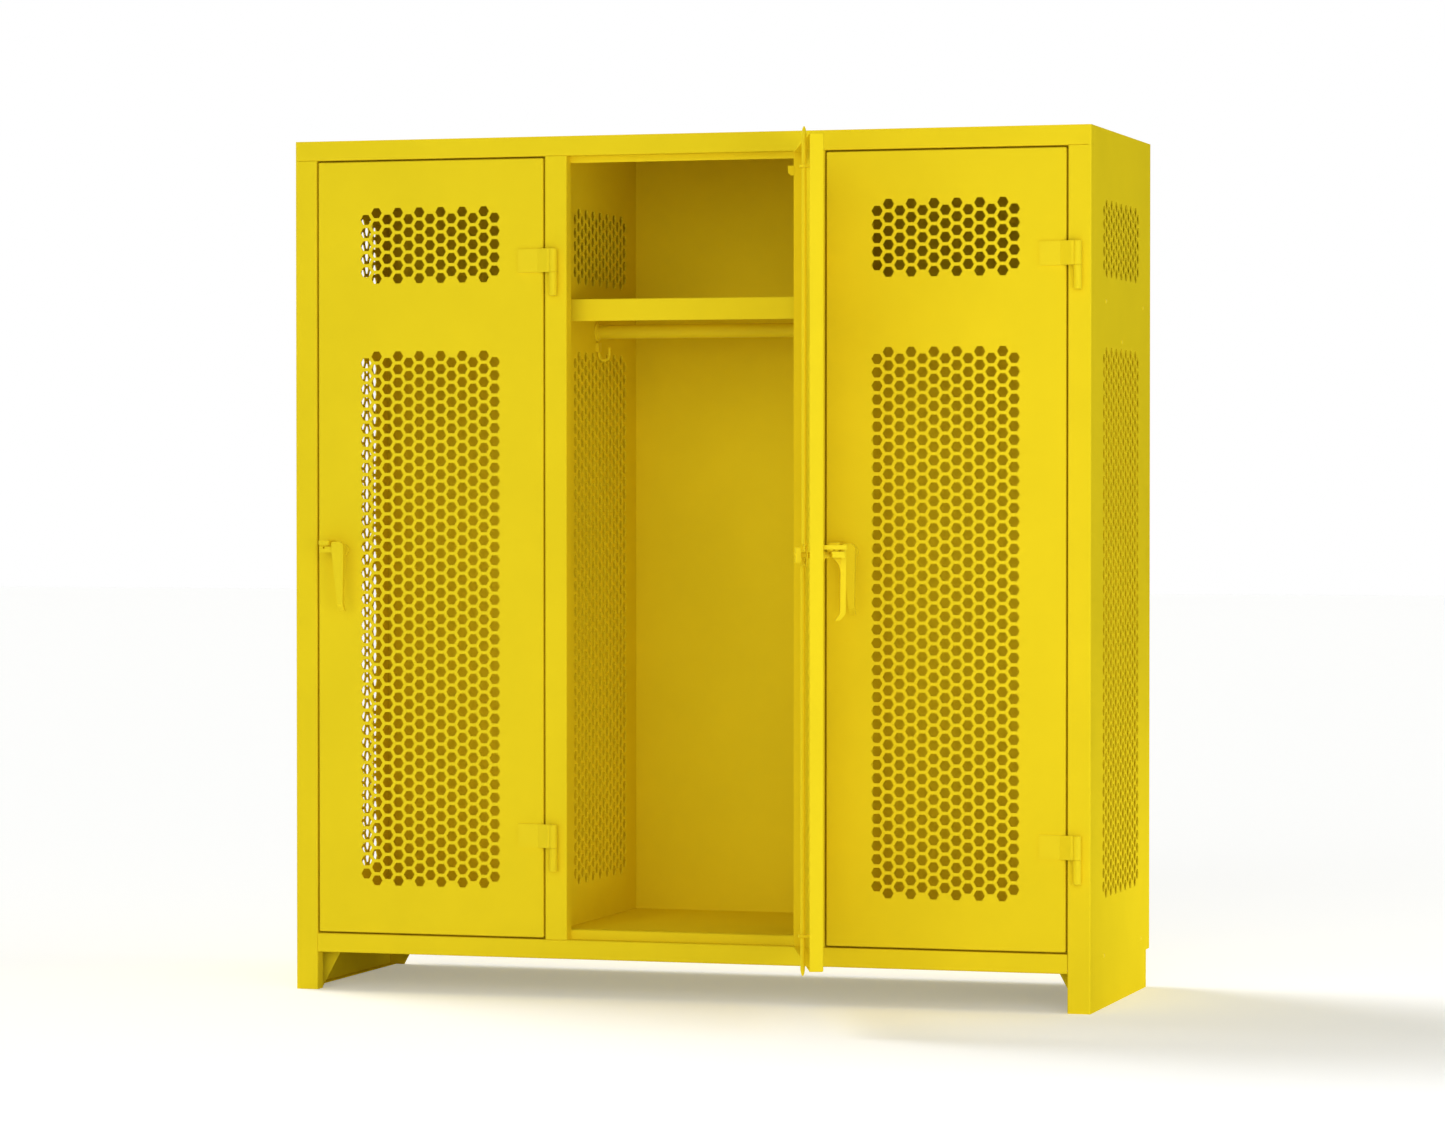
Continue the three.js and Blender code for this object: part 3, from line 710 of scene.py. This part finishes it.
def coat_rods():
    """A round tube with a pressed flange at each wall."""
    radius = 15.9 * MM
    flange = 5 * MM
    flange_radius = 22 * MM
    soft = 1.5 * MM
    sides = 48
    half = [
        (0, 0),
        (flange_radius, 0),
        (flange_radius, flange - soft),
        (flange_radius - soft, flange),
        (radius + soft, flange),
        (radius, flange + soft),
    ]
    for place in PLACES:
        low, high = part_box("coat_rod_" + place)
        profile = [(r, low.x + reach) for r, reach in half]
        profile += [(r, high.x - reach) for r, reach in reversed(half)]
        matrix = along_x((low.y + high.y) / 2, (low.z + high.z) / 2)
        mesh = turned("coat_rod_" + place, profile, matrix, sides)
        dress("coat_tube_" + place, mesh, "cabinet", ["coat_rod_" + place], hardware=True)


def hook_wire(x, y, base, top):
    """A round wire bent into a J, with a ball at its tip."""
    wire = 3.2 * MM
    inset = 1 * MM
    bend = 12.5 * MM
    start_drop = 8 * MM
    tip_drop = 14 * MM
    steps = 14
    ball = 1.4 * wire
    ball_sides = 20
    start = x + wire + inset
    turn = base - 2 * wire
    line = [Vector((start, top - start_drop)), Vector((start, turn))]
    line += arc((start + bend, turn), bend, 180, 360, steps)[1:]
    line.append(Vector((start + 2 * bend, top - tip_drop)))
    route = [Vector((p.x, y, p.y)) for p in line]
    tube = tube_mesh("hook_wire", route, wire)
    angles = (-1.2, -0.8, -0.4, 0, 0.4, 0.8, 1.2)
    profile = [(0, -ball), *((ball * math.cos(a), ball * math.sin(a)) for a in angles), (0, ball)]
    tip = turned("hook_ball", profile, Matrix.Translation(route[-1]), ball_sides)
    return tube, tip


def coat_hooks():
    """A plate on the wall and its hook."""
    tall = 22 * MM
    thick = 7 * MM
    corner = 4 * MM
    for place in PLACES:
        low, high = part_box("coat_hook_" + place)
        base = high.z - tall
        outline = rounded_rectangle(low.y, high.y, base, high.z, corner)
        backing = plate("hook_plate", outline, [], in_profile, low.x, low.x + thick)
        wire = hook_wire(low.x, (low.y + high.y) / 2, base, high.z)
        mesh = merged("hook_" + place, backing, *wire)
        dress("wire_hook_" + place, mesh, "cabinet", ["coat_hook_" + place], hardware=True)


def plain_members():
    """CAD pieces that keep their own form: paint and softened edges."""
    for name in ("back_panel", "top_panel", "floor_panel", "leg_brace_left", "leg_brace_right"):
        node = frame["nodes"][name]
        for item in node.material_slots:
            item.material = SHEET_PAINT
        if not node.material_slots:
            node.data.materials.append(SHEET_PAINT)
        soften(node, EDGE)


# Doors: every piece is made once, on the closed left door, and hung in all three places

def hung(place):
    """From the closed left door to a door as it hangs at rest."""
    low_stop = JOINTS[place + "_door_hinge"]["range_deg"][0]
    turn = Matrix.Rotation(math.radians(-low_stop), 4, "Z")
    return Matrix.Translation(PINS[place]) @ turn @ Matrix.Translation(-PINS["left"])


def hang(name, mesh, body, node, hardware=True, edge=0.0):
    """Hangs a mesh in all three places; {} in the names stands for the place."""
    for place in PLACES:
        nodes = [node.format(place)]
        dress(name.format(place), mesh, body.format(place), nodes, hung(place), hardware, edge)


def doors():
    """The tray, and the tab on its hinge edge."""
    drop = 32 * MM
    tall = 21 * MM
    snip = 6 * MM
    root = DOOR_LOW.y + DOOR_DEPTH - SHEET
    reach = DOOR_HIGH.y
    top = DOOR_HIGH.z - drop
    bottom = top - tall
    outline = [
        (root, bottom),
        (reach - snip, bottom),
        (reach, bottom + snip),
        (reach, top),
        (root, top),
    ]
    tab = plate("door_tab", outline, [], in_profile, DOOR_HIGH.x - SHEET, DOOR_HIGH.x)
    hang("vented_door_{}", merged("door", door_tray(), tab), "{}_door", "door_{}", hardware=False)


def hinge_leaf(end):
    """The strap on the door, bent out to its half of the barrel."""
    pin = PINS["left"]
    low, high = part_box("hinge_leaf_left_" + end)
    strap = 4 * MM
    bend = 7 * MM
    strap_step = 4.5 * MM
    straight = 12 * MM
    edge_inset = 11 * MM
    tail = 5 * MM
    back = DOOR_LOW.y - HAIR
    behind = pin.y - BARREL + strap + strap_step
    path = (
        (pin.x, behind),
        (pin.x - straight, behind),
        (DOOR_HIGH.x - edge_inset, back),
        (low.x - tail, back),
    )
    leaf = fold("hinge_leaf", path, [(low.z, high.z)], in_plan, strap, bend)
    ring = [
        (HINGE_BORE, low.z),
        (BARREL - HINGE_SOFT, low.z),
        (BARREL, low.z + HINGE_SOFT),
        (BARREL, high.z - HINGE_SOFT),
        (BARREL - HINGE_SOFT, high.z),
        (HINGE_BORE, high.z),
    ]
    tube = turned("hinge_barrel", ring, along_z(pin.x, pin.y))
    return merged("hinge_leaf_" + end, leaf, tube)


def hinge_post(end):
    """The half of the barrel on the stile, with its pin and the pad that carries it."""
    pin = PINS["left"]
    low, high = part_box("hinge_pin_left_" + end)
    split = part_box("hinge_leaf_left_" + end)[0].z - HAIR
    pad = 5 * MM
    matrix = along_z(pin.x, pin.y)
    barrel = turned("hinge_lower", bar_profile(BARREL, low.z, split, HINGE_SOFT), matrix)
    core_profile = bar_profile(HINGE_BORE - HAIR, split - HINGE_SOFT, high.z, HINGE_SOFT)
    core = turned("hinge_core", core_profile, matrix)
    pad_low = (pin.x - pad, pin.y, low.z + pad)
    pad_high = (pin.x + pad, high.y, split - pad)
    return merged("hinge_pin_" + end, barrel, core, block("hinge_pad", pad_low, pad_high))


def hinges():
    """Two strap hinges on each door; their posts stand on the cabinet."""
    for end in ENDS:
        hang("hinge_strap_{}_" + end, hinge_leaf(end), "{}_door", "hinge_leaf_{}_" + end)
        post = hinge_post(end)
        for place, shift in zip(PLACES, BAYS):
            name = place + "_" + end
            matrix = Matrix.Translation((shift, 0, 0))
            dress("hinge_barrel_" + name, post, "cabinet", ["hinge_pin_" + name], matrix, hardware=True)


# Latches

def padlock_hole():
    """The hole that runs through the hasp and the lever's ear."""
    low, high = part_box("hasp_left")
    return drilled(((low.x + high.x) / 2, low.y + PADLOCK_INSET), PADLOCK_RADIUS)


def hasps():
    """A plate with a padlock hole, fixed to the door above the lever."""
    low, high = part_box("hasp_left")
    corner = 4 * MM
    edge = 1 * MM
    outline = rounded_rectangle(low.x, high.x, low.y, high.y, corner)
    mesh = plate("hasp", outline, [padlock_hole()], in_plan, low.z, high.z)
    hang("hasp_plate_{}", mesh, "{}_door", "hasp_{}", edge=edge)


def lever_stations():
    """Cross-sections of the lever, from its round head to its curled tip.

    Each holds its height from the hub, its left and right sides from the hub, and its front
    and back from the door's face.
    """
    head = 18.8 * MM
    tip = 136 * MM
    front = -50 * MM
    back = -38.5 * MM
    left = -10.5 * MM
    right = 18 * MM
    corner = 9.5 * MM
    left_taper = 16 * MM
    right_taper = 1.8 * MM
    curl_start = 0.88
    curl_power = 1.3
    front_curl = 12 * MM
    back_curl = 11 * MM
    # How far down the corner, and how far in at the left and at the right, as shares of it
    corner_shares = (
        (0, 0.5, 1),
        (0.06, 0.3, 0.75),
        (0.2, 0.1, 0.66),
        (0.32, 0.04, 0.45),
        (0.5, 0, 0.22),
        (0.75, 0, 0.06),
        (1, 0, 0),
    )
    length_shares = (0, 0.15, 0.3, 0.45, 0.6, 0.75, 0.88, 0.905, 0.93, 0.955, 0.98, 1)
    stations = []
    for down, near, far in corner_shares:
        stations.append((head - down * corner, left + near * corner, right - far * corner, front, back))
    for share in length_shares:
        curl = max(0.0, (share - curl_start) / (1 - curl_start)) ** curl_power
        sides = (left + share * left_taper, right - share * right_taper)
        stations.append((-share * tip, *sides, front + curl * front_curl, back + curl * back_curl))
    return stations


def lever_grip():
    """The tapered grip through its cross-sections."""
    bm = bmesh.new()
    rings = []
    for z, left, right, front, back in lever_stations():
        corners = ((left, front), (right, front), (right, back), (left, back))
        rings.append([bm.verts.new((HUB.x + x, DOOR_LOW.y + y, HUB.z + z)) for x, y in corners])
    for a, b in zip(rings, rings[1:]):
        for i in range(4):
            j = (i + 1) % 4
            bm.faces.new((a[i], a[j], b[j], b[i]))
    bm.faces.new(rings[0])
    bm.faces.new(rings[-1])
    return baked("lever_grip", bm)


def lever_hub():
    """A collar on the door that narrows to a neck and widens again under the grip, and the spindle."""
    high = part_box("lever_left")[1]
    door_gap = 1 * MM
    door = DOOR_LOW.y - door_gap
    collar = 14 * MM
    neck = 7 * MM
    # Added radius and distance in front of the door, in millimetres
    collar_steps = ((-1, 0), (0, 1), (0, 4), (-1, 5))
    neck_steps = ((1, 5.5), (0, 8), (0, 24), (1, 30), (3, 35), (6, 38))
    hub = [(collar + wider * MM, door - out * MM) for wider, out in collar_steps]
    hub += [(neck + wider * MM, door - out * MM) for wider, out in neck_steps]
    hub = [(0, door), *hub, (0, hub[-1][1])]
    spindle = 6 * MM
    spindle_root = 2 * MM
    chamfer = 0.5 * MM
    shaft = bar_profile(spindle, door - spindle_root, high.y, chamfer)
    matrix = along_y(HUB.x, HUB.z)
    return turned("lever_hub", hub, matrix), turned("lever_spindle", shaft, matrix)


def lever_ear():
    """The ear under the hasp: a drilled plate, and above it a lip with an open notch."""
    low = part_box("lever_left")[0]
    hasp_low, hasp_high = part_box("hasp_left")
    hole = (hasp_low.x + hasp_high.x) / 2
    hasp_gap = 4.5 * MM
    thick = 12.5 * MM
    lip_thick = 4 * MM
    lip_overlap = 0.5 * MM
    ear_corner = 5 * MM
    lip_corner = 4 * MM
    notch_half = 2.2 * MM
    notch_inset = 12 * MM
    front = DOOR_LOW.y - 47.3 * MM
    rear = DOOR_LOW.y - 18 * MM
    top = hasp_low.z - hasp_gap
    split = top - lip_thick
    outline = rounded_rectangle(low.x, HUB.x, front, rear, ear_corner)
    ear = plate("lever_ear", outline, [padlock_hole()], in_plan, top - thick, split)
    notch_end = hasp_low.y + notch_inset
    rim = [
        (low.x, front + lip_corner),
        (low.x + lip_corner, front),
        (hole - notch_half, front),
        (hole - notch_half, notch_end),
        (hole + notch_half, notch_end),
        (hole + notch_half, front),
        (HUB.x, front),
        (HUB.x, rear),
        (low.x, rear),
    ]
    lip = plate("lever_ear_lip", rim, [], in_plan, split - lip_overlap, top)
    return ear, lip


def lever_throat():
    """A web with a hollow curve that joins the neck to the back of the grip."""
    top = HUB.z - 6.5 * MM
    foot = HUB.z - 42 * MM
    deep = DOOR_LOW.y - 19 * MM
    grip_back = DOOR_LOW.y - 39 * MM
    root = grip_back - 6 * MM
    left = HUB.x - 7 * MM
    right = HUB.x + 13 * MM
    steps = 6
    curve = []
    for i in range(steps + 1):
        turn = math.radians(90 / steps * i)
        y = deep + (grip_back - deep) * math.sin(turn)
        z = foot + (top - foot) * math.cos(turn)
        curve.append((y, z))
    return plate("lever_throat", [(root, top), *curve, (root, foot)], [], in_profile, left, right)


def levers():
    """Grip, ear, throat, hub and spindle, cast in one."""
    edge = 1.4 * MM
    mesh = merged("lever", lever_grip(), *lever_ear(), lever_throat(), *lever_hub())
    hang("cast_lever_{}", mesh, "{}_latch", "lever_{}", edge=edge)


def crank_place(side):
    """Where a crank pin stands at rest; side is -1 for the upper rod, 1 for the lower one."""
    return HUB.x + side * CRANK, HUB.z - side * CRANK


def cam_clamp(start):
    """The boss on the disc, and the block and screw that clamp it."""
    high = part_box("cam_left")[1]
    front = high.y - 11.4 * MM
    boss = 5.5 * MM
    half = 15.5 * MM
    screw = 5 * MM
    screw_root = 1 * MM
    screw_rise = 2.5 * MM
    matrix = along_y(HUB.x, HUB.z)
    boss_profile = bar_profile(boss, start - HAIR, front + HAIR, chamfer=0.1 * MM)
    screw_profile = bar_profile(screw, high.y - screw_root, high.y + screw_rise, chamfer=0.6 * MM)
    block_low = (HUB.x - half, front, HUB.z - half)
    block_high = (HUB.x + half, high.y, HUB.z + half)
    return (
        turned("cam_boss", boss_profile, matrix, segments=24),
        block("cam_clamp", block_low, block_high),
        turned("cam_screw", screw_profile, matrix, segments=6),
    )


def crank_pins(start):
    """A pin on the disc for the eye of each rod."""
    radius = 3 * MM
    rod_overlap = 6.5 * MM
    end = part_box("latch_rod_left_upper")[0].y + rod_overlap
    profile = bar_profile(radius, start - HAIR, end, chamfer=0.3 * MM)
    return [turned("crank_pin", profile, along_y(*crank_place(side)), segments=20) for side in (-1, 1)]


def cams():
    """The disc behind the door, with its clamp and the pins that drive the rods."""
    low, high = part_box("cam_left")
    back = low.y + 3 * MM
    edge = 0.6 * MM
    profile = bar_profile((high.x - low.x) / 2, low.y, back, chamfer=0.4 * MM)
    disc = turned("cam_disc", profile, along_y(HUB.x, HUB.z), segments=48)
    mesh = merged("cam", disc, *cam_clamp(back), *crank_pins(back))
    hang("latch_cam_{}", mesh, "{}_latch", "cam_{}", edge=edge)


def rod_guides():
    """A foot on the door skin and a collar round the rod."""
    collar = 5 * MM
    bore = 5.8 * MM
    foot = 3 * MM
    corner = 3 * MM
    edge = 0.5 * MM
    raised = {"upper": 8 * MM, "lower": -5 * MM}
    for end in ENDS:
        low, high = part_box("rod_guide_left_" + end)
        rod_low, rod_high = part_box("latch_rod_left_" + end)
        centre = ((low.x + high.x) / 2, (rod_low.y + rod_high.y) / 2)
        top = (high.z if end == "upper" else low.z) + raised[end]
        outline = rounded_rectangle(low.x, high.x, low.y, high.y, corner)
        ring = plate("guide_collar", outline, [drilled(centre, bore)], in_plan, top - collar, top)
        foot_low = min(low.z, top - collar)
        foot_high = max(high.z, top)
        foot_outline = rounded_rectangle(low.x, high.x, foot_low, foot_high, corner)
        base = plate("guide_foot", foot_outline, [], in_elevation, low.y, low.y + foot)
        mesh = merged("rod_guide_" + end, ring, base)
        hang("rod_collar_{}_" + end, mesh, "{}_door", "rod_guide_{}_" + end, edge=edge)


def rod_bar(x, y, start, tip):
    """A round rod that narrows to a nose at its tip."""
    radius = 4.9 * MM
    sides = 24
    nose = math.copysign(15 * MM, start - tip)
    # Radius and distance from the tip, as shares of the rod's radius and of its nose
    nose_shares = ((1, 1), (0.9, 0.7), (0.66, 0.35), (0.34, 0.1), (0, 0))
    point = [(radius * thick, tip + nose * back) for thick, back in nose_shares]
    return turned("latch_rod", [(0, start), (radius, start), *point], along_z(x, y), sides)


def rod_eye(low, high, middle, half):
    """A flat eye with a slot for the crank pin."""
    wall = 4 * MM
    corner = 4 * MM
    slot_corner = 3 * MM
    half_thick = 1.5 * MM
    y = (low.y + high.y) / 2
    outline = rounded_rectangle(low.x, high.x, middle - half, middle + half, corner)
    inner = half - wall
    slot = rounded_rectangle(low.x + wall, high.x - wall, middle - inner, middle + inner, slot_corner)
    return plate("rod_eye", outline, [slot[::-1]], in_elevation, y - half_thick, y + half_thick)


def latch_rods():
    """Full-length rods: the tips run on behind the stop lips."""
    reach = 13 * MM
    eye_half = 8.2 * MM
    for side, end in zip((-1, 1), ENDS):
        low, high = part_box("latch_rod_left_" + end)
        middle = crank_place(side)[1]
        tip = high.z + reach if side < 0 else low.z - reach
        bar = rod_bar((low.x + high.x) / 2, (low.y + high.y) / 2, middle - side * eye_half, tip)
        mesh = merged("latch_rod_" + end, bar, rod_eye(low, high, middle, eye_half))
        hang("long_rod_{}_" + end, mesh, "{}_" + end + "_rod", "latch_rod_{}_" + end)


# Studio

def camera():
    """The camera stands where the photo was taken from."""
    data = bpy.data.cameras.new("camera")
    data.sensor_width = CAMERA_SENSOR
    data.lens = CAMERA_LENS
    data.clip_end = CAMERA_REACH
    view = new_object("camera", data)
    view.location = Vector((LEFT, FRONT, 0)) + CAMERA_PLACE
    view.rotation_euler = (math.radians(90 - CAMERA_DIP), 0, math.radians(CAMERA_TURN))
    bpy.context.scene.camera = view


def seen_rays(nodes, links):
    """A factor of 1 for rays that see or mirror the background, and 0 for those that light the locker."""
    path = nodes.new("ShaderNodeLightPath")
    total = path.outputs["Is Camera Ray"]
    for kind in ("Is Glossy Ray", "Is Transmission Ray"):
        add = nodes.new("ShaderNodeMath")
        add.use_clamp = True
        links.new(total, add.inputs[0])
        links.new(path.outputs[kind], add.inputs[1])
        total = add.outputs["Value"]
    return total


def background():
    """Soft white light from all round; the background itself is plain white."""
    world = bpy.data.worlds.new("studio")
    bpy.context.scene.world = world
    world.use_nodes = True
    nodes, links = world.node_tree.nodes, world.node_tree.links
    nodes.clear()
    mix = nodes.new("ShaderNodeMixShader")
    for strength, shade in ((SOFT_LIGHT, mix.inputs[1]), (1, mix.inputs[2])):
        white = nodes.new("ShaderNodeBackground")
        white.inputs["Color"].default_value = (1, 1, 1, 1)
        white.inputs["Strength"].default_value = strength
        links.new(white.outputs[0], shade)
    out = nodes.new("ShaderNodeOutputWorld")
    links.new(seen_rays(nodes, links), mix.inputs["Fac"])
    links.new(mix.outputs[0], out.inputs["Surface"])


def lamp(name, kind, power, travel, place=(0, 0, 0)):
    """A lamp of the given kind that shines along its travel."""
    light = bpy.data.lights.new(name, kind)
    light.energy = power
    obj = new_object(name, light)
    obj.location = place
    obj.rotation_euler = travel.to_track_quat("-Z", "Y").to_euler()
    return light


def softbox(name, place, size, power, target):
    """A rectangle of light that faces its target."""
    light = lamp(name, "AREA", power, Vector(target) - Vector(place), place)
    light.shape = "RECTANGLE"
    light.size, light.size_y = size


def beam(name, place, width, radius, power, target):
    """A far spot with a soft rim; its width is in degrees."""
    light = lamp(name, "SPOT", power, Vector(target) - Vector(place), place)
    light.spot_size = math.radians(width)
    light.spot_blend = 1
    light.shadow_soft_size = radius


def daylight(name, travel, height, spread, power):
    """Light from far away; travel is its way over the floor, height and spread are in degrees."""
    across = Vector((*travel, 0)).normalized() * math.cos(math.radians(height))
    down = Vector((0, 0, math.sin(math.radians(height))))
    light = lamp(name, "SUN", power, across - down)
    light.angle = math.radians(spread)


def lamps():
    """The lamps, placed as the photo's shades and shadows tell."""
    # On the doors, from the right of the camera
    softbox("key", place=(2.5, -4.5, 2.2), size=(3.0, 2.4), power=22, target=(0, 0, 0.9))
    # On the lower right door and the edge of the open door
    softbox("low", place=(2.8, -3.2, 0.6), size=(2.0, 0.8), power=26, target=(0.5, 0, 0.6))
    # Low on the right side
    beam("side", place=(5.5, 0.6, 0.4), width=19, radius=0.4, power=300, target=(RIGHT, 0.45, 0.08))
    # From the left rear, for the shadow on the floor
    daylight("rear_left", travel=(0.945, -0.33), height=42, spread=36, power=1.82)
    # On the whole right side
    daylight("right", travel=(-1, 0.1), height=35, spread=40, power=0.3)
    # From the front, into the open compartment
    daylight("front", travel=(0.05, 1), height=12, spread=44, power=0.845)


def floor_material():
    """Pale floor, lifted to white where it is seen or mirrored, so that the shadow stays."""
    material = bpy.data.materials.new("floor")
    material.use_nodes = True
    nodes, links = material.node_tree.nodes, material.node_tree.links
    shader = nodes["Principled BSDF"]
    shader.inputs["Base Color"].default_value = FLOOR_COLOUR
    shader.inputs["Roughness"].default_value = FLOOR_ROUGHNESS
    shader.inputs["Specular IOR Level"].default_value = 0
    shader.inputs["Emission Color"].default_value = FLOOR_LIFT
    links.new(seen_rays(nodes, links), shader.inputs["Emission Strength"])
    return material


def stage_floor():
    """A wide flat floor that belongs to the stage."""
    bm = bmesh.new()
    bmesh.ops.create_grid(bm, x_segments=1, y_segments=1, size=FLOOR_SIZE)
    floor = new_object("floor", baked("floor", bm))
    floor.data.materials.append(floor_material())


bpy.context.scene.view_settings.view_transform = "Standard"
camera()
background()
lamps()
stage_floor()

stiles()
top_rail()
bottom_rail()
side_panels()
partitions()
side_rivets()
back_rivets()
shelves()
coat_rods()
coat_hooks()
plain_members()
doors()
hinges()
hasps()
levers()
cams()
rod_guides()
latch_rods()
